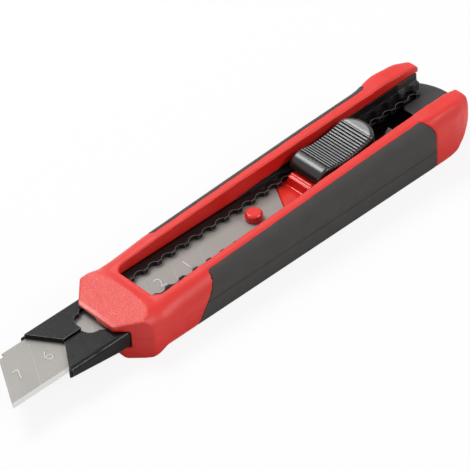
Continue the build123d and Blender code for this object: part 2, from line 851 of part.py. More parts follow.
with BuildPart() as blade_carrier:
    # plate behind the blade, its front cut to the slant of the blade's tail
    with BuildSketch(Plane.XY.offset(plate_bottom)):
        with BuildLine():
            Polyline(
                (tail_x - carrier_front_gap, carrier_half_width),
                (tail_x - carrier_front_gap - segment_slant, -carrier_half_width),
                (behind(carrier_rear), -carrier_half_width),
                (behind(carrier_rear), carrier_half_width),
                close=True,
            )
        make_face()
    extrude(amount=plate_top - plate_bottom)
    # tongue under the tail of the blade
    with BuildSketch(Plane.XY.offset(plate_bottom)):
        with Locations((peg_x - tongue_length / 2 + tongue_reach, 0)):
            Rectangle(tongue_length, 2 * tongue_half_width)
        fillet(vertices().group_by(Axis.X)[-1], radius=2.5)
    extrude(amount=blade_under - flange_gap - plate_bottom)
    # peg through the blade and its button
    with Locations((peg_x, tail_hole_offset, plate_bottom)):
        Cylinder(
            peg_radius,
            blade_level + flange_gap - plate_bottom,
            align=(Align.CENTER, Align.CENTER, Align.MIN),
        )
    with BuildSketch(Plane.XY.offset(blade_level + flange_gap)):
        with Locations((peg_x, tail_hole_offset)):
            Circle(button_radius)
    extrude(amount=button_height)
    chamfer(faces().filter_by(Axis.Z).group_by(Axis.Z)[-1].edges(), length=button_chamfer)
    # neck through the slot and the deck that the slider stands on
    with BuildSketch(Plane.XY.offset(plate_bottom)):
        with Locations((behind((deck_front + deck_rear) / 2), slot_offset)):
            Rectangle(deck_rear - deck_front, 2 * neck_half_width)
    extrude(amount=slot_level - plate_bottom)
    with BuildSketch(Plane.XY.offset(slot_level)):
        with Locations((behind((deck_front + deck_rear) / 2), 0)):
            Rectangle(deck_rear - deck_front, 2 * deck_half_width)
    extrude(amount=deck_top - slot_level)
    with Locations((behind(deck_front + ridge_setback + ridge_length / 2), 0, deck_top)):
        Box(
            ridge_length,
            2 * deck_half_width,
            ridge_height,
            align=(Align.CENTER, Align.CENTER, Align.MIN),
        )
    # pocket that the lock plate sinks into, and the bore for its stem
    with Locations((lock_middle, slot_offset, slot_level)):
        Box(
            lock_front - lock_back + 2 * (lock_lug + lock_pocket_gap),
            2 * (lock_side + lock_lug + lock_pocket_gap),
            slot_level - flange_under + press_travel + lock_pocket_gap,
            align=(Align.CENTER, Align.CENTER, Align.MAX),
            mode=Mode.SUBTRACT,
        )
    with Locations((lock_middle, 0, flange_under - press_travel - 1)):
        Cylinder(
            stem_radius + pin_gap,
            deck_top + 2 - plate_bottom,
            align=(Align.CENTER, Align.CENTER, Align.MIN),
            mode=Mode.SUBTRACT,
        )
    # slit that grips the brake leaf
    with Locations((behind(carrier_rear - brake_grip / 2 + 0.5), 0, brake_level)):
        Box(brake_grip + 1, brake_width, leaf_thickness, mode=Mode.SUBTRACT)
blade_carrier.part.label = "blade_carrier"
export_step(blade_carrier.part, "parts/blade_carrier.step")

# ---- brake leaf: keeps the carriage from rattling ---------------------------
with BuildPart() as brake_leaf:
    leaf_front = behind(carrier_rear - brake_grip)
    leaf_foot = behind(carrier_rear + brake_length - brake_bend)
    leaf_end = behind(carrier_rear + brake_length)
    leaf_half = leaf_thickness / 2
    foot_level = plate_bottom
    with BuildSketch(Plane.XZ):
        with BuildLine():
            Polyline(
                (leaf_front, brake_level - leaf_half),
                (behind(carrier_rear + brake_bend), brake_level - leaf_half),
                (leaf_foot, foot_level),
                (leaf_end, foot_level + brake_kick),
                (leaf_end, foot_level + brake_kick + leaf_thickness),
                (leaf_foot, foot_level + leaf_thickness),
                (behind(carrier_rear + brake_bend), brake_level + leaf_half),
                (leaf_front, brake_level + leaf_half),
                close=True,
            )
        make_face()
    extrude(amount=brake_width / 2, both=True)
brake_leaf.part.label = "brake_leaf"
export_step(brake_leaf.part, "parts/brake_leaf.step")

# ---- lock plate: lugs that nest in the scallops, on a stem -----------------
with BuildPart() as lock_plate:
    with BuildSketch(Plane.XY.offset(flange_under + flange_gap)):
        with Locations(*[(x, slot_offset + side * lock_side)
                         for x in (lock_front, lock_back) for side in (-1, 1)]):
            Circle(lock_lug)
        with Locations((lock_middle, slot_offset)):
            Rectangle(lock_front - lock_back + 2 * lock_core, 2 * lock_side)
    extrude(amount=lock_thickness)
    with Locations((lock_middle, 0, flange_under + flange_gap)):
        Cylinder(
            stem_radius,
            blade_level + slider_roof - flange_under - flange_gap,
            align=(Align.CENTER, Align.CENTER, Align.MIN),
        )
lock_plate.part.label = "lock_plate"
export_step(lock_plate.part, "parts/lock_plate.step")

with BuildPart() as lock_spring:
    add(bowed_leaf(
        (lock_back - stem_radius + behind(deck_rear)) / 2,
        deck_top,
        blade_level + slider_roof,
        lock_spring_length,
        lock_spring_width,
        leaf_thickness,
    ))
lock_spring.part.label = "lock_spring"
export_step(lock_spring.part, "parts/lock_spring.step")


# ---- thumb slider -----------------------------------------------------------
def saddle_level(distance):
    """Height of the ribbed saddle, this far behind the front of the slider."""
    if distance < slider_saddle_place:
        share = (slider_saddle_place - distance) / (slider_saddle_place - slider_nose_length)
        return blade_level + slider_saddle + (slider_nose_top - slider_saddle) * eased(share)
    share = (distance - slider_saddle_place) / (slider_back_place - slider_saddle_place)
    return blade_level + slider_saddle + (slider_back_top - slider_saddle) * share ** 2


def on_slider(distance, level):
    """Point of the slider's side outline: behind its front, above the blade."""
    return (behind(slider_front + distance), blade_level + level)


saddle_steps = 9
saddle_span = slider_back_place - slider_nose_length
saddle_points = []
for step in range(saddle_steps + 1):
    distance = slider_nose_length + saddle_span * step / saddle_steps
    saddle_points.append((behind(slider_front + distance), saddle_level(distance)))

with BuildPart() as thumb_slider:
    with BuildSketch(Plane.XZ):
        with BuildLine():
            nose_top = on_slider(slider_nose_length, slider_nose_top)
            front_foot = on_slider(0, slider_front_lip)
            TangentArc(nose_top, front_foot, tangent=(1, 0))
            rim_end = on_slider(slider_length, slider_rim_top)
            Spline(nose_top, *saddle_points[1:], rim_end, tangents=[(-1, 0), (-1, 0)])
            Polyline(
                rim_end,
                on_slider(slider_length, slider_skirt),
                on_slider(slider_wall + 0.9, slider_skirt),
                on_slider(slider_wall + 0.4, slider_front_lip),
                front_foot,
            )
        make_face()
    extrude(amount=slider_half_width, both=True)
    # rounded rear end in plan
    with BuildSketch(Plane.XY.offset(blade_level)):
        with BuildLine():
            back_corner = behind(slider_rear - slider_end_sagitta)
            Polyline(
                (back_corner, slider_half_width),
                (behind(slider_front - 1), slider_half_width),
                (behind(slider_front - 1), -slider_half_width),
                (back_corner, -slider_half_width),
            )
            ThreePointArc(
                (back_corner, -slider_half_width),
                (behind(slider_rear), 0),
                (back_corner, slider_half_width),
            )
        make_face()
        fillet(
            vertices().filter_by_position(Axis.X, back_corner - 0.1, back_corner + 0.1),
            radius=slider_corner_radius,
        )
    extrude(amount=slider_rim_top + 1, mode=Mode.INTERSECT)
    # soft edges all round the top
    top_edges = edges().filter_by(Axis.Y, reverse=True).filter_by(Axis.Z, reverse=True)
    above_lip = blade_level + slider_front_lip + slider_edge_radius / 2
    fillet(top_edges.filter_by(lambda edge: edge.center().Z > above_lip), radius=slider_edge_radius)
    # hollow over the deck
    with Locations((
        behind((slider_front + slider_wall + 0.4 + slider_rear - slider_wall) / 2),
        0,
        blade_level,
    )):
        Box(
            slider_length - 2 * slider_wall - 0.4,
            2 * (deck_half_width + deck_side_gap),
            slider_roof,
            align=(Align.CENTER, Align.CENTER, Align.MIN),
            mode=Mode.SUBTRACT,
        )
    # grooves between the cross ribs
    rib_pitch = saddle_span / (rib_count + 0.5)
    for number in range(rib_count + 1):
        groove = slider_nose_length + rib_pitch * (number + 0.25)
        with Locations((behind(slider_front + groove), 0, saddle_level(groove) - rib_depth)):
            Box(
                rib_width,
                2 * slider_half_width + 2,
                3,
                align=(Align.CENTER, Align.CENTER, Align.MIN),
                mode=Mode.SUBTRACT,
            )
thumb_slider.part.label = "thumb_slider"
export_step(thumb_slider.part, "parts/thumb_slider.step")

# ---- end cap ----------------------------------------------------------------
cap_front = channel_rear + cap_gap
cap_cheek_end = horn_length - cap_cheek_setback
cap_base = floor_thickness + cap_gap
cap_side = cap_cheek_outer
with BuildPart() as end_cap:
    # body that closes the magazine and the channel, raked below
    with BuildSketch(Plane.XZ):
        with BuildLine():
            Polyline(
                (behind(cap_front), cap_base),
                (behind(cap_front + 1.4), cap_base),
                (behind(handle_length - 1.4), cap_base + 3.6),
                (behind(handle_length), cap_base + 6.2),
                (behind(handle_length), channel_top),
                (behind(cap_front), channel_top),
                close=True,
            )
        make_face()
    extrude(amount=cap_side, both=True)
    with BuildSketch(Plane.XY.offset(cap_base)):
        with BuildLine():
            cap_corner = behind(handle_length - cap_sagitta)
            Line((behind(cap_front), cap_side), (cap_corner, cap_side))
            ThreePointArc((cap_corner, cap_side), (behind(handle_length), 0), (cap_corner, -cap_side))
            Line((cap_corner, -cap_side), (behind(cap_front), -cap_side))
            Line((behind(cap_front), -cap_side), (behind(cap_front), cap_side))
        make_face()
    extrude(amount=channel_top, mode=Mode.INTERSECT)
    # hollow that lets the brake leaf in
    with Locations((behind(cap_front - 1), 0, cap_base + cap_wall)):
        Box(
            handle_length - cap_front - cap_wall + 1.4,
            2 * (cap_side - 2 * cap_wall),
            channel_top - cap_roof - cap_base - cap_wall,
            align=(Align.MAX, Align.CENTER, Align.MIN),
            mode=Mode.SUBTRACT,
        )
    # cheeks that slide in under the horns
    with BuildSketch(Plane.XY.offset(slot_level)):
        with Locations((behind((cap_cheek_start + cap_gap + cap_cheek_end) / 2), 0)):
            Rectangle(cap_cheek_end - cap_cheek_start - cap_gap, 2 * cap_side)
    extrude(amount=cap_cheek_height - slot_level)
    with BuildSketch(Plane.XY.offset(channel_top - cap_roof / 2)):
        with Locations((behind((cap_front + cap_cheek_end) / 2), 0)):
            Rectangle(cap_cheek_end - cap_front, 2 * cap_side)
    extrude(amount=slot_level - channel_top + cap_roof / 2)
    # the teeth of the strips run on along the foot of the cheeks
    with BuildSketch(Plane.XY.offset(channel_top)):
        with Locations((behind(horn_length), 0)):
            Rectangle(4 * cap_cheek_length, 2 * guide_half_width)
        with Locations(*[(scallop_x(number), side * tooth_side)
                         for number in range(int(handle_length / scallop_pitch)) for side in (-1, 1)]):
            Circle(scallop_radius)
    extrude(amount=cap_cheek_height, mode=Mode.SUBTRACT)
    with BuildSketch(Plane.XY.offset(ledge_rear_height)):
        with Locations((behind(horn_length), 0)):
            Rectangle(4 * cap_cheek_length, 2 * (guide_half_width + scallop_depth))
    extrude(amount=cap_cheek_height, mode=Mode.SUBTRACT)
    # tongue in the slot of the channel, over the path of the blade carrier
    with BuildSketch(Plane.XY.offset(channel_top - cap_tongue_thickness)):
        with Locations((behind(cap_front - cap_tongue_length / 2 + cap_wall / 2), slot_offset)):
            Rectangle(cap_tongue_length + cap_wall, 2 * (slot_half_width - neck_gap))
        fillet(vertices().group_by(Axis.X)[-1], radius=slot_end_radius / 2)
    extrude(amount=cap_tongue_thickness)
end_cap.part.label = "end_cap"
export_step(end_cap.part, "parts/end_cap.step")
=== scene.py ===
"""Snap-off utility knife with an 18 mm blade: the finish of every piece, and the studio round it.

Metres.  +X points out along the blade, +Y is the side of the cutting edge, +Z is up.
"""
import bpy
from math import cos, radians, sin
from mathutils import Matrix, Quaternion, Vector


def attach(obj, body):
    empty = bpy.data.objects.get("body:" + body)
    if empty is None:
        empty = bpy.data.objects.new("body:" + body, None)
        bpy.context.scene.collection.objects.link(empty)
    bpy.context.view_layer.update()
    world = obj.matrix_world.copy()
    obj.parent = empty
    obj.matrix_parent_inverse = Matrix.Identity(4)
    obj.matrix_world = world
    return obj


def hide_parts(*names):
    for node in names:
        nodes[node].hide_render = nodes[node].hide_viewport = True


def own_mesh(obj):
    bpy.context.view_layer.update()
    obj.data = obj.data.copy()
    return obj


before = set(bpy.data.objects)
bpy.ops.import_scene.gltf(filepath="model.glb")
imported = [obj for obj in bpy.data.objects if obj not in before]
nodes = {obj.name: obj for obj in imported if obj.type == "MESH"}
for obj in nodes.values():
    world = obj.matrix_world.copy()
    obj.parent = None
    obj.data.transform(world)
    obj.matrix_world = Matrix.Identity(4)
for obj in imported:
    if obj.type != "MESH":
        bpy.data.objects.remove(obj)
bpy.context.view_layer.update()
mm = 0.001


# ---- red shells -------------------------------------------------------------
# The handle is two shells of glass-filled nylon, moulded in red and screwed
# together from below.  Every edge has a soft moulded radius, the plastic has a
# low sheen, and the facet of the nose is spark-eroded to a grain whose sparkle is
# painted as light specks, with a painted highlight along its lip.


def feed(tree, socket, value):
    """Links a socket to another one, or gives it a plain value."""
    if isinstance(value, bpy.types.NodeSocket):
        tree.links.new(value, socket)
    else:
        socket.default_value = value


def new_material(name):
    """A node material, its tree, its Principled shader and its object coordinates."""
    material = bpy.data.materials.new(name)
    material.use_nodes = True
    tree = material.node_tree
    place = tree.nodes.new("ShaderNodeTexCoord").outputs["Object"]
    return material, tree, tree.nodes["Principled BSDF"], place


def mix_colour(tree, factor, first, second):
    """Mix of two colours, each a tuple or a socket, by a factor socket."""
    mix = tree.nodes.new("ShaderNodeMix")
    mix.data_type = "RGBA"
    colour_a, colour_b, colour_result = 6, 7, 2
    feed(tree, mix.inputs["Factor"], factor)
    for index, colour in ((colour_a, first), (colour_b, second)):
        feed(tree, mix.inputs[index], (*colour, 1.0) if isinstance(colour, tuple) else colour)
    return mix.outputs[colour_result]


def spread(tree, value, low, high, from_low=0.0, from_high=1.0):
    """A value mapped from one span to another, and held at its ends."""
    node = tree.nodes.new("ShaderNodeMapRange")
    for name, number in (("Value", value), ("From Min", from_low), ("From Max", from_high),
                         ("To Min", low), ("To Max", high)):
        feed(tree, node.inputs[name], number)
    return node.outputs["Result"]


def calculate(tree, operation, *values):
    """One Math node on numbers or sockets."""
    node = tree.nodes.new("ShaderNodeMath")
    node.operation = operation
    for socket, value in zip(node.inputs, values):
        feed(tree, socket, value)
    return node.outputs["Value"]


def times(tree, *factors):
    """Product of several masks or numbers."""
    product = factors[0]
    for factor in factors[1:]:
        product = calculate(tree, "MULTIPLY", product, factor)
    return product


def noise(tree, place, scale, detail=3.0, roughness=0.5):
    """Factor of a noise texture."""
    node = tree.nodes.new("ShaderNodeTexNoise")
    for name, value in (("Vector", place), ("Scale", scale),
                        ("Detail", detail), ("Roughness", roughness)):
        feed(tree, node.inputs[name], value)
    return node.outputs["Fac"]


def axes_of(tree, vector):
    """The X, Y and Z of a vector socket."""
    node = tree.nodes.new("ShaderNodeSeparateXYZ")
    feed(tree, node.inputs["Vector"], vector)
    return node.outputs["X"], node.outputs["Y"], node.outputs["Z"]


def new_group(name, inputs, outputs):
    """A node group with its sockets, and its input and output nodes."""
    group = bpy.data.node_groups.new(name, "ShaderNodeTree")
    for label, value in inputs.items():
        kind = "NodeSocketVector" if isinstance(value, tuple) else "NodeSocketFloat"
        group.interface.new_socket(label, in_out="INPUT", socket_type=kind).default_value = value
    for label, kind in outputs.items():
        group.interface.new_socket(label, in_out="OUTPUT", socket_type=kind)
    return group, group.nodes.new("NodeGroupInput"), group.nodes.new("NodeGroupOutput")


def make_grain_group():
    """Moulded grain: the height of a fine roughness, and a slow, faint mottling."""
    group, given, made = new_group(
        "moulded_grain",
        {"Grain Scale": 9000.0, "Mottle Scale": 220.0, "Mottle": 0.5, "Place": (0.0, 0.0, 0.0)},
        {"Height": "NodeSocketFloat", "Mottling": "NodeSocketFloat"},
    )
    place = given.outputs["Place"]
    fine = noise(group, place, given.outputs["Grain Scale"], detail=3.0, roughness=0.6)
    slow = noise(group, place, given.outputs["Mottle Scale"], detail=4.0)
    clear, dark = 0.3, 0.7
    feed(group, made.inputs["Height"], fine)
    feed(group, made.inputs["Mottling"],
         times(group, spread(group, slow, 0.0, 1.0, clear, dark), given.outputs["Mottle"]))
    return group


def make_edge_group():
    """Lightened edges, as wear and as painted edge highlight: the rounded normal, and a patchy mask of
    where the surface turns sharply.
    """
    group, given, made = new_group(
        "rubbed_and_lit_edges",
        {"Radius": 0.5 * mm, "Strength": 1.0, "Break Scale": 900.0, "Unbroken": 0.0,
         "Place": (0.0, 0.0, 0.0)},
        {"Edge": "NodeSocketFloat", "Rounded": "NodeSocketVector"},
    )
    rounded = group.nodes.new("ShaderNodeBevel")
    rounded.samples = 8
    feed(group, rounded.inputs["Radius"], given.outputs["Radius"])
    geometry = group.nodes.new("ShaderNodeNewGeometry")
    turn = group.nodes.new("ShaderNodeVectorMath")
    turn.operation = "DOT_PRODUCT"
    feed(group, turn.inputs[0], rounded.outputs["Normal"])
    feed(group, turn.inputs[1], geometry.outputs["Normal"])
    lighten_starts, lighten_full = 0.995, 0.90      # cosine of the turn
    sharp = spread(group, turn.outputs["Value"], 0.0, 1.0, lighten_starts, lighten_full)
    breaks = noise(group, given.outputs["Place"], given.outputs["Break Scale"], detail=5.0)
    kept, patch_full = 0.35, 0.62
    patchy = spread(group, breaks, given.outputs["Unbroken"], 1.0, kept, patch_full)
    feed(group, made.inputs["Edge"], times(group, sharp, patchy, given.outputs["Strength"]))
    feed(group, made.inputs["Rounded"], rounded.outputs["Normal"])
    return group


grain_group = make_grain_group()
edge_group = make_edge_group()


def add_group(tree, group, place, **values):
    """Places a node group in a material and sets its inputs by name."""
    node = tree.nodes.new("ShaderNodeGroup")
    node.node_tree = group
    for name, value in values.items():
        node.inputs[name.replace("_", " ")].default_value = value
    feed(tree, node.inputs["Place"], place)
    return node


def moulded(name, colour, deep_colour, edge_and_highlight_colour, roughness, grain_depth, grain_scale=9000.0,
            edge_radius=0.35 * mm, edge_strength=0.35, unbroken=0.0, specular=0.5, special=None):
    """Moulded plastic or rubber: mottled colour, fine grain, rounded edges lightened as wear and as
    painted edge highlight.

    special gives the extra height, the painted highlight (shine) and the polish of a face that differs
    from the rest.
    """
    material, tree, shader, place = new_material(name)
    grain = add_group(tree, grain_group, place, Grain_Scale=grain_scale)
    edges = add_group(tree, edge_group, place,
                      Radius=edge_radius, Strength=edge_strength, Unbroken=unbroken)
    smoother, rougher = 0.04, 0.07
    body = mix_colour(tree, grain.outputs["Mottling"], colour, deep_colour)
    height = grain.outputs["Height"]
    rough = spread(tree, grain.outputs["Mottling"], roughness - smoother, roughness + rougher)
    if special:
        coarse, shine, polish = special(tree, place)
        height = calculate(tree, "ADD", height, coarse)
        # The shine of a special face is a painted highlight in the edge colour.
        body = mix_colour(tree, shine, body, edge_and_highlight_colour)
        rough = calculate(tree, "SUBTRACT", rough, polish)
    # Edges are lightened in the edge colour, as wear and as painted edge highlight.
    body = mix_colour(tree, edges.outputs["Edge"], body, edge_and_highlight_colour)
    feed(tree, shader.inputs["Base Color"], body)
    feed(tree, shader.inputs["Roughness"], rough)
    bump = tree.nodes.new("ShaderNodeBump")
    bump.inputs["Distance"].default_value = grain_depth
    feed(tree, bump.inputs["Height"], height)
    feed(tree, bump.inputs["Normal"], edges.outputs["Rounded"])
    feed(tree, shader.inputs["Normal"], bump.outputs["Normal"])
    shader.inputs["Specular IOR Level"].default_value = specular
    return material


def dress(material, *names):
    """Gives CAD nodes this material in place of their packed one."""
    for name in names:
        for material_slot in nodes[name].material_slots:
            material_slot.material = material


def merged_copy(name, sources):
    """One mesh of some nodes, with the corners of their triangles joined."""
    bpy.ops.object.select_all(action="DESELECT")
    for source in sources:
        piece = bpy.data.objects.new(name, nodes[source].data.copy())
        bpy.context.scene.collection.objects.link(piece)
        piece.select_set(True)
        bpy.context.view_layer.objects.active = piece
    if len(sources) > 1:
        bpy.ops.object.join()
        piece = bpy.context.view_layer.objects.active
    bpy.ops.object.mode_set(mode="EDIT")
    bpy.ops.mesh.select_all(action="SELECT")
    bpy.ops.mesh.remove_doubles(threshold=0.002 * mm)
    bpy.ops.object.mode_set(mode="OBJECT")
    piece.data.materials.clear()
    return piece


def everywhere(point):
    """The whole share of a smoothing pass, at every point."""
    return 1.0


def growing(start, full):
    """Share of a smoothing pass that grows from none to all between two places along the handle."""
    return lambda point: min(1.0, max(0.0, (point.x - start) / (full - start)))


def soft_copy(name, sources, voxel, *passes):
    """One closed mesh of some nodes with its edges rounded, as the mould leaves them.

    Each pass is a number of smoothing rounds and the share of it that a point gets.
    """
    piece = merged_copy(name, sources)
    remesh = piece.modifiers.new("remesh", "REMESH")
    remesh.mode = "VOXEL"
    remesh.voxel_size = voxel
    bpy.ops.object.modifier_apply(modifier="remesh")
    for rounds, share in passes:
        group = piece.vertex_groups.new(name="soft")
        for vertex in piece.data.vertices:
            group.add([vertex.index], share(vertex.co), "REPLACE")
        soften = piece.modifiers.new("soften", "SMOOTH")
        soften.factor = 0.5
        soften.iterations = rounds
        soften.vertex_group = group.name
        bpy.ops.object.modifier_apply(modifier="soften")
        piece.vertex_groups.clear()
    bpy.ops.object.shade_smooth()
    return piece


def finish_piece(piece, material, body, finish_slot, *replaced):
    """Gives a made piece its material and body, and hides the nodes it stands for; the finish_slot
    argument is not used.
    """
    piece.data.materials.append(material)
    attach(piece, body)
    if replaced:
        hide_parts(*replaced)


def nose_facet(tree, place):
    """Grain and painted glitter of the sloping facet on top of the nose, and a painted highlight along
    its lip, stronger on the far side, where the lip is also smoother.
    """
    along, across, height = axes_of(tree, place)
    slope, crest = 0.3, 25.9 * mm           # the facet is the plane z + slope * x = crest
    off = calculate(tree, "ADD", height, times(tree, along, slope))
    off = calculate(tree, "ABSOLUTE", calculate(tree, "SUBTRACT", off, crest))
    flat = spread(tree, off, 1.0, 0.0, 0.15 * mm, 0.45 * mm)
    ahead_of_ridge = spread(tree, along, 0.0, 1.0, 35.5 * mm, 37.0 * mm)
    facet = times(tree, flat, ahead_of_ridge)

    # The glitter is painted: light specks of the edge colour over the real grain bump.
    grain_size, coarseness, dull, sparkling = 4200.0, 4.0, 0.51, 0.63
    specks = noise(tree, place, grain_size, detail=2.0)
    coarse = times(tree, facet, times(tree, specks, coarseness))
    glitter = times(tree, facet, spread(tree, specks, 0.0, 0.7, dull, sparkling))

    # The lip carries a painted highlight that fades toward the edge side, and it is smoother there.
    at_the_front = spread(tree, along, 0.0, 1.0, 47.7 * mm, 48.1 * mm)
    above_the_mouth = spread(tree, height, 0.0, 1.0, 10.0 * mm, 10.5 * mm)
    less_to_the_edge_side = spread(tree, across, 1.0, 0.3, -3.0 * mm, 5.0 * mm)
    lip = times(tree, at_the_front, above_the_mouth, less_to_the_edge_side)
    lip_shine, lip_polish = 0.8, 0.25
    shine = calculate(tree, "MAXIMUM", glitter, times(tree, lip, lip_shine))
    return coarse, shine, times(tree, lip, lip_polish)


red_plastic = moulded(
    "red_nylon",
    colour=(0.76, 0.020, 0.013), deep_colour=(0.66, 0.015, 0.010), edge_and_highlight_colour=(0.95, 0.24, 0.20),
    roughness=0.40, grain_depth=0.03 * mm, edge_radius=0.12 * mm, edge_strength=0.25, special=nose_facet,
)
joint_level = 7.1 * mm
over_all, full_horns, full_nose = 4, 14, 6      # rounds of smoothing
both_shells = soft_copy(
    "both_shells", ["housing_upper", "housing_lower"], 0.34 * mm,
    (over_all, everywhere),
    (full_horns, growing(-64.0 * mm, -74.0 * mm)),
    (full_nose, growing(30.0 * mm, 40.0 * mm)),
)
for shell in ("upper", "lower"):
    piece = bpy.data.objects.new("shell_" + shell, both_shells.data.copy())
    bpy.context.scene.collection.objects.link(piece)
    bpy.ops.object.select_all(action="DESELECT")
    piece.select_set(True)
    bpy.context.view_layer.objects.active = piece
    bpy.ops.object.mode_set(mode="EDIT")
    bpy.ops.mesh.select_all(action="SELECT")
    bpy.ops.mesh.bisect(
        plane_co=(0, 0, joint_level), plane_no=(0, 0, 1), use_fill=True,
        clear_inner=shell == "upper", clear_outer=shell == "lower",
    )
    bpy.ops.object.mode_set(mode="OBJECT")
    finish_piece(piece, red_plastic, "handle", "housing", "housing_" + shell)
bpy.data.objects.remove(both_shells)

# ---- rubber grips -----------------------------------------------------------
# Soft black rubber is moulded over both sides of the shells.  It is matt, with
# a fine even grain, and goes a little grey and dusty where hands rub it.
rubber = moulded(
    "grip_rubber",
    colour=(0.058, 0.054, 0.052), deep_colour=(0.048, 0.045, 0.043), edge_and_highlight_colour=(0.11, 0.105, 0.10),
    roughness=0.72, grain_depth=0.05 * mm, grain_scale=5200.0, edge_strength=0.5, specular=0.3,
)
for side in ("left", "right"):
    for shell in ("upper", "lower"):
        grip = "grip_%s_%s" % (side, shell)
        skin = soft_copy(grip + "_skin", [grip], 0.3 * mm, (2, everywhere))
        finish_piece(skin, rubber, "handle", "rubber", grip)

# ---- blade channel ----------------------------------------------------------
# Folded steel strip, stoved in black and held in the nose by two rivets.  The
# paint is satin, with a slight orange-peel skin, and the grey line along its
# edges is partly worn steel and partly a painted highlight.
channel_paint = moulded(
    "black_stoved_steel", colour=(0.007, 0.006, 0.006), deep_colour=(0.004, 0.004, 0.004),
    edge_and_highlight_colour=(0.30, 0.29, 0.28), roughness=0.24, grain_depth=0.02 * mm, grain_scale=2200.0,
    edge_radius=0.25 * mm, edge_strength=1.0, unbroken=0.6, specular=0.22,
)
dress(channel_paint, "blade_channel")

# ---- guide strips -----------------------------------------------------------
# Moulded black acetal strips that line the foot of both rails.  The plastic is
# smooth and a little waxy.
guide_plastic = moulded(
    "black_acetal",
    colour=(0.011, 0.010, 0.010), deep_colour=(0.008, 0.007, 0.007), edge_and_highlight_colour=(0.07, 0.07, 0.07),
    roughness=0.36, grain_depth=0.01 * mm, edge_radius=0.2 * mm, specular=0.25,
)
dress(guide_plastic, "rail_guide_left", "rail_guide_right")

# ---- blade ------------------------------------------------------------------
# Carbon tool steel strip, rolled to a satin grey.  The bevels are painted
# brighter, partly as ground steel and partly as painted reflection, the floors of
# the score lines are painted lighter as a painted highlight, and each segment has
# its number.


def make_lines_group():
    """Grinding lines: noise drawn out along the axis that is stretched least."""
    group, given, made = new_group(
        "grinding_lines",
        {"Stretch": (1.0, 1.0, 1.0), "Place": (0.0, 0.0, 0.0)},
        {"Lines": "NodeSocketFloat"},
    )
    stretched = group.nodes.new("ShaderNodeMapping")
    feed(group, stretched.inputs["Vector"], given.outputs["Place"])
    feed(group, stretched.inputs["Scale"], given.outputs["Stretch"])
    feed(group, made.inputs["Lines"], noise(group, stretched.outputs["Vector"], 1.0, detail=4.0))
    return group


lines_group = make_lines_group()


def ground_steel(name, colour, dark, roughness, stretch=(60.0, 9000.0, 9000.0), metal=1.0,
                 bright=None, ground_and_highlit=None):
    """Steel with fine grinding lines and a slow change of tone.

    ground_and_highlit gives a mask that is painted in the colour bright, for ground steel and painted
    highlights.
    """
    material, tree, shader, place = new_material(name)
    lines = add_group(tree, lines_group, place, Stretch=stretch).outputs["Lines"]
    grain = add_group(tree, grain_group, place, Mottle_Scale=150.0)
    line_tone, smoother, rougher = 0.35, 0.06, 0.08
    tone = mix_colour(tree, spread(tree, lines, 0.0, line_tone), colour, dark)
    tone = mix_colour(tree, grain.outputs["Mottling"], tone, dark)
    if ground_and_highlit:
        tone = mix_colour(tree, ground_and_highlit(tree, place), tone, bright)
    feed(tree, shader.inputs["Base Color"], tone)
    rough = spread(tree, lines, roughness - smoother, roughness + rougher)
    feed(tree, shader.inputs["Roughness"], rough)
    bump = tree.nodes.new("ShaderNodeBump")
    bump.inputs["Distance"].default_value = 0.008 * mm
    feed(tree, bump.inputs["Height"], lines)
    feed(tree, shader.inputs["Normal"], bump.outputs["Normal"])
    shader.inputs["Metallic"].default_value = metal
    return material


blade_top = 8.6 * mm
blade_thickness = 0.5 * mm


def below_the_skin(tree, place):
    """Mask painted brighter on the steel under the rolled faces: the bevels and edges, as ground steel
    and painted reflection, and less in the score lines, as painted highlight.
    """
    _, across, height = axes_of(tree, place)
    depth = calculate(tree, "SUBTRACT", height, blade_top - blade_thickness / 2)
    depth = calculate(tree, "ABSOLUTE", depth)
    skin_thick, skin_thin = 0.05 * mm, 0.02 * mm
    face = blade_thickness / 2
    under = spread(tree, depth, 1.0, 0.0, face - skin_thick, face - skin_thin)
    bevel_start, bevel_full, in_the_scores = 7.2 * mm, 7.25 * mm, 0.45
    return times(tree, under, spread(tree, across, in_the_scores, 1.0, bevel_start, bevel_full))


blade_steel = ground_steel(
    "ground_tool_steel", colour=(0.315, 0.300, 0.281), dark=(0.275, 0.262, 0.245), roughness=0.54,
    stretch=(9000.0, 60.0, 9000.0), metal=0.45, bright=(0.46, 0.46, 0.445), ground_and_highlit=below_the_skin,
)
dress(blade_steel, "blade", "spare_blade_1", "spare_blade_2")

etch = moulded(
    "etched_number",
    colour=(0.60, 0.59, 0.565), deep_colour=(0.52, 0.51, 0.49), edge_and_highlight_colour=(0.66, 0.65, 0.62),
    roughness=0.55, grain_depth=0.01 * mm, grain_scale=4000.0, specular=0.4,
)
number_height = 5.6 * mm
number_weight = 0.12 * mm
number_flatten = 0.1
segment_pitch = 10.0 * mm
last_number = 7
last_number_place = Vector((76.2 * mm, 0.5 * mm, blade_top))
for number in range(1, last_number + 1):
    bpy.ops.object.select_all(action="DESELECT")
    bpy.ops.object.text_add()
    piece = bpy.context.object
    piece.data.body = str(number)
    piece.data.size = number_height
    piece.data.align_x = "CENTER"
    piece.data.align_y = "CENTER"
    piece.data.bevel_depth = number_weight
    bpy.ops.object.convert(target="MESH")
    piece = bpy.context.object
    piece.name = "segment_number_%d" % number
    piece.location = last_number_place - Vector(((last_number - number) * segment_pitch, 0, 0))
    piece.rotation_euler = (0, 0, radians(180))
    piece.scale = (1, 1, number_flatten)
    bpy.ops.object.transform_apply(location=True, rotation=True, scale=True)
    finish_piece(piece, etch, "carriage", "blade")

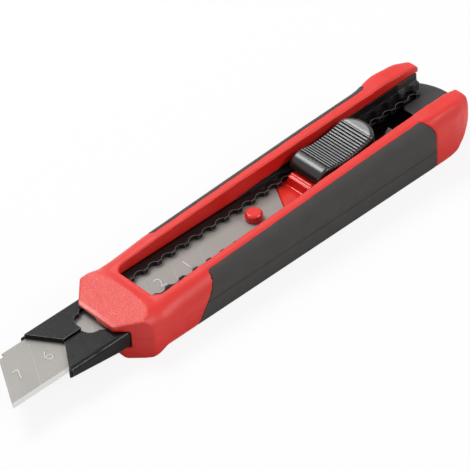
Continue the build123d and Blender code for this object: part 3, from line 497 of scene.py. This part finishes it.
# ---- blade carrier ----------------------------------------------------------
# Injection-moulded red acetal, slicker and brighter than the shells.  It slides
# along the channel, and its peg holds the blade by the hole near its tail.
carrier_red = moulded(
    "red_acetal",
    colour=(0.78, 0.022, 0.012), deep_colour=(0.68, 0.016, 0.010), edge_and_highlight_colour=(0.95, 0.20, 0.16),
    roughness=0.22, grain_depth=0.01 * mm, edge_radius=0.3 * mm,
)
carrier = soft_copy("carrier_moulding", ["blade_carrier"], 0.2 * mm, (4, everywhere))
finish_piece(carrier, carrier_red, "carriage", "carrier", "blade_carrier")

# ---- thumb slider -----------------------------------------------------------
# Black ABS with a cross-ribbed thumb rest, on the stem of the lock plate.  The
# tops of the ribs and the crescent behind them carry painted highlights in grey,
# and the crescent is smoother.


def rubbed_rest(tree, place):
    """Painted highlights on the tops of the ribs and on the crescent behind them, and the lower
    roughness of the crescent.
    """
    along, across, height = axes_of(tree, place)
    fade = 0.2 * mm
    first_groove, rib_pitch, rib_total, rib_reach = -32.545 * mm, 0.9818 * mm, 16.5, 5.5 * mm
    count = calculate(tree, "DIVIDE", calculate(tree, "SUBTRACT", first_groove, along), rib_pitch)
    turn = calculate(tree, "FRACT", calculate(tree, "ADD", count, 0.5))
    off_groove = calculate(tree, "ABSOLUTE", calculate(tree, "SUBTRACT", turn, 0.5))
    groove_edge, top_edge = 0.25, 0.31      # of the pitch, from the middle of a groove
    tops = times(
        tree,
        spread(tree, off_groove, 0.0, 1.0, groove_edge, top_edge),
        calculate(tree, "COMPARE", count, rib_total / 2, rib_total / 2),
        spread(tree, height, 0.0, 1.0, 15.2 * mm, 15.6 * mm),
        spread(tree, calculate(tree, "ABSOLUTE", across), 1.0, 0.0, rib_reach, rib_reach + fade),
    )

    arc_middle, arc_radius, last_rib = -45.3 * mm, 6.3 * mm, -49.0 * mm
    reach = calculate(tree, "POWER", calculate(tree, "SUBTRACT", along, arc_middle), 2.0)
    reach = calculate(tree, "SQRT", calculate(tree, "ADD", reach, calculate(tree, "POWER", across, 2.0)))
    crescent = times(
        tree,
        spread(tree, reach, 1.0, 0.0, arc_radius - fade, arc_radius + fade),
        spread(tree, along, 1.0, 0.0, last_rib - fade, last_rib),
        spread(tree, height, 0.0, 1.0, 16.6 * mm, 16.9 * mm),
    )
    # The crescent and the rib tops get painted highlights in the edge colour.
    crescent_highlight, rib_top_highlight, smoother = 0.8, 0.6, 0.08
    shine = calculate(tree, "MAXIMUM", times(tree, crescent, crescent_highlight), times(tree, tops, rib_top_highlight))
    return 0.0, shine, times(tree, crescent, smoother)


slider_black = moulded(
    "polished_black",
    colour=(0.012, 0.012, 0.012), deep_colour=(0.008, 0.008, 0.009), edge_and_highlight_colour=(0.34, 0.35, 0.35),
    roughness=0.24, grain_depth=0.004 * mm, edge_radius=0.15 * mm, edge_strength=0.3, unbroken=0.5,
    special=rubbed_rest,
)
dress(slider_black, "thumb_slider", "lock_plate")

# ---- end cap ----------------------------------------------------------------
# Dark grey nylon plug that closes the tail and the magazine of spare blades.
# It is moulded with a fine grain, and slides in from behind.
cap_grey = moulded(
    "grey_nylon",
    colour=(0.040, 0.038, 0.037), deep_colour=(0.032, 0.031, 0.030), edge_and_highlight_colour=(0.09, 0.09, 0.09),
    roughness=0.45, grain_depth=0.03 * mm, specular=0.3,
)
cap = soft_copy("cap_moulding", ["end_cap"], 0.25 * mm, (3, everywhere))
finish_piece(cap, cap_grey, "cap", "cap", "end_cap")

# ---- springs ----------------------------------------------------------------
# Bright spring strip, cut and bent.  The brake leaf and the lock spring ride on
# the carrier, and the magazine spring lies under the spare blades.
spring_steel = ground_steel(
    "spring_strip", colour=(0.62, 0.62, 0.64), dark=(0.48, 0.48, 0.50), roughness=0.25,
)
dress(spring_steel, "brake_leaf", "magazine_spring")

# The real lock spring flattens as the slider goes down; here it only gets a mesh of its own.
leaf = merged_copy("lock_leaf", ["lock_spring"])
finish_piece(leaf, spring_steel, "carriage", "spring", "lock_spring")
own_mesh(leaf)

# ---- screws and rivets ------------------------------------------------------
# Four blackened steel screws hold the shells together from below, and two plain
# steel rivets hold the channel in the nose.
screw_black = moulded(
    "blackened_screw",
    colour=(0.03, 0.03, 0.032), deep_colour=(0.02, 0.02, 0.02), edge_and_highlight_colour=(0.25, 0.25, 0.25),
    roughness=0.35, grain_depth=0.01 * mm, edge_radius=0.2 * mm, edge_strength=0.8,
)
dress(screw_black, "housing_screws")
rivet_steel = ground_steel(
    "rivet_steel", colour=(0.55, 0.55, 0.55), dark=(0.42, 0.42, 0.42), roughness=0.35,
)
dress(rivet_steel, "channel_rivets")

# ---- studio -----------------------------------------------------------------
# A white table top in a white room, under three soft boxes: a large one over the
# back of the blade, one beside the edge, and a small one for a glint on flat tops.
table_size = 3.0
bpy.ops.object.select_all(action="DESELECT")
bpy.ops.mesh.primitive_plane_add(size=table_size, location=(0, 0, 0))
table = bpy.context.object
table.name = "table_top"
table_white = bpy.data.materials.new("table_white")
table_white.use_nodes = True
tree = table_white.node_tree
shader = tree.nodes["Principled BSDF"]
shader.inputs["Base Color"].default_value = (0.85, 0.85, 0.85, 1.0)
shader.inputs["Roughness"].default_value = 0.9
shader.inputs["Specular IOR Level"].default_value = 0.0
plain_white = tree.nodes.new("ShaderNodeEmission")
plain_white.inputs["Strength"].default_value = 1.0
path = tree.nodes.new("ShaderNodeLightPath")
white_share = 0.88
blend_out = tree.nodes.new("ShaderNodeMixShader")
feed(tree, blend_out.inputs["Fac"], times(tree, path.outputs["Is Camera Ray"], white_share))
feed(tree, blend_out.inputs[1], shader.outputs["BSDF"])
feed(tree, blend_out.inputs[2], plain_white.outputs["Emission"])
feed(tree, tree.nodes["Material Output"].inputs["Surface"], blend_out.outputs["Shader"])
table.data.materials.append(table_white)

world = bpy.data.worlds.new("studio")
bpy.context.scene.world = world
world.use_nodes = True
tree = world.node_tree
backdrop = tree.nodes["Background"]
backdrop.inputs["Color"].default_value = (1.0, 1.0, 1.0, 1.0)
room_light = 0.36
path = tree.nodes.new("ShaderNodeLightPath")
seen = calculate(tree, "MAXIMUM", path.outputs["Is Camera Ray"], path.outputs["Is Glossy Ray"])
seen = calculate(tree, "MAXIMUM", seen, path.outputs["Is Transmission Ray"])
feed(tree, backdrop.inputs["Strength"], spread(tree, seen, room_light, 1.0))


def soft_box(name, toward, size, power):
    """Square area light a metre away, that faces the knife from the given direction."""
    distance = 1.0
    lamp = bpy.data.lights.new(name, "AREA")
    lamp.shape = "SQUARE"
    lamp.size = size
    lamp.energy = power
    box = bpy.data.objects.new(name, lamp)
    bpy.context.scene.collection.objects.link(box)
    direction = Vector(toward).normalized()
    box.location = direction * distance
    box.rotation_mode = "QUATERNION"
    box.rotation_quaternion = direction.to_track_quat("Z", "Y")


soft_box("key_box", toward=(0.08, -0.54, 0.88), size=0.4, power=6.6)
soft_box("side_box", toward=(-0.46, 0.69, 0.62), size=0.3, power=2.9)
soft_box("glint_box", toward=(-0.29, -0.576, 0.765), size=0.12, power=0.4)

# ---- camera -----------------------------------------------------------------
# A long lens that looks back over the blade from the side of the cutting edge,
# so that the window, the slider and one whole grip show.
camera_azimuth = radians(139.369)
camera_elevation = radians(40.631)
camera_roll = radians(-3.882)
camera_distance = 0.9104
camera_target = Vector((-0.0012, 0.00074, 0.0086))
back = Vector((
    sin(camera_azimuth) * cos(camera_elevation),
    -cos(camera_azimuth) * cos(camera_elevation),
    sin(camera_elevation),
))
camera_data = bpy.data.cameras.new("camera")
camera_data.lens = 254.83
camera_data.clip_start = 0.05
camera_data.clip_end = 20.0
camera = bpy.data.objects.new("camera", camera_data)
bpy.context.scene.collection.objects.link(camera)
camera.location = camera_target + back * camera_distance
camera.rotation_mode = "QUATERNION"
camera.rotation_quaternion = back.to_track_quat("Z", "Y") @ Quaternion((0, 0, 1), camera_roll)
bpy.context.scene.camera = camera
bpy.context.scene.view_settings.view_transform = "Standard"
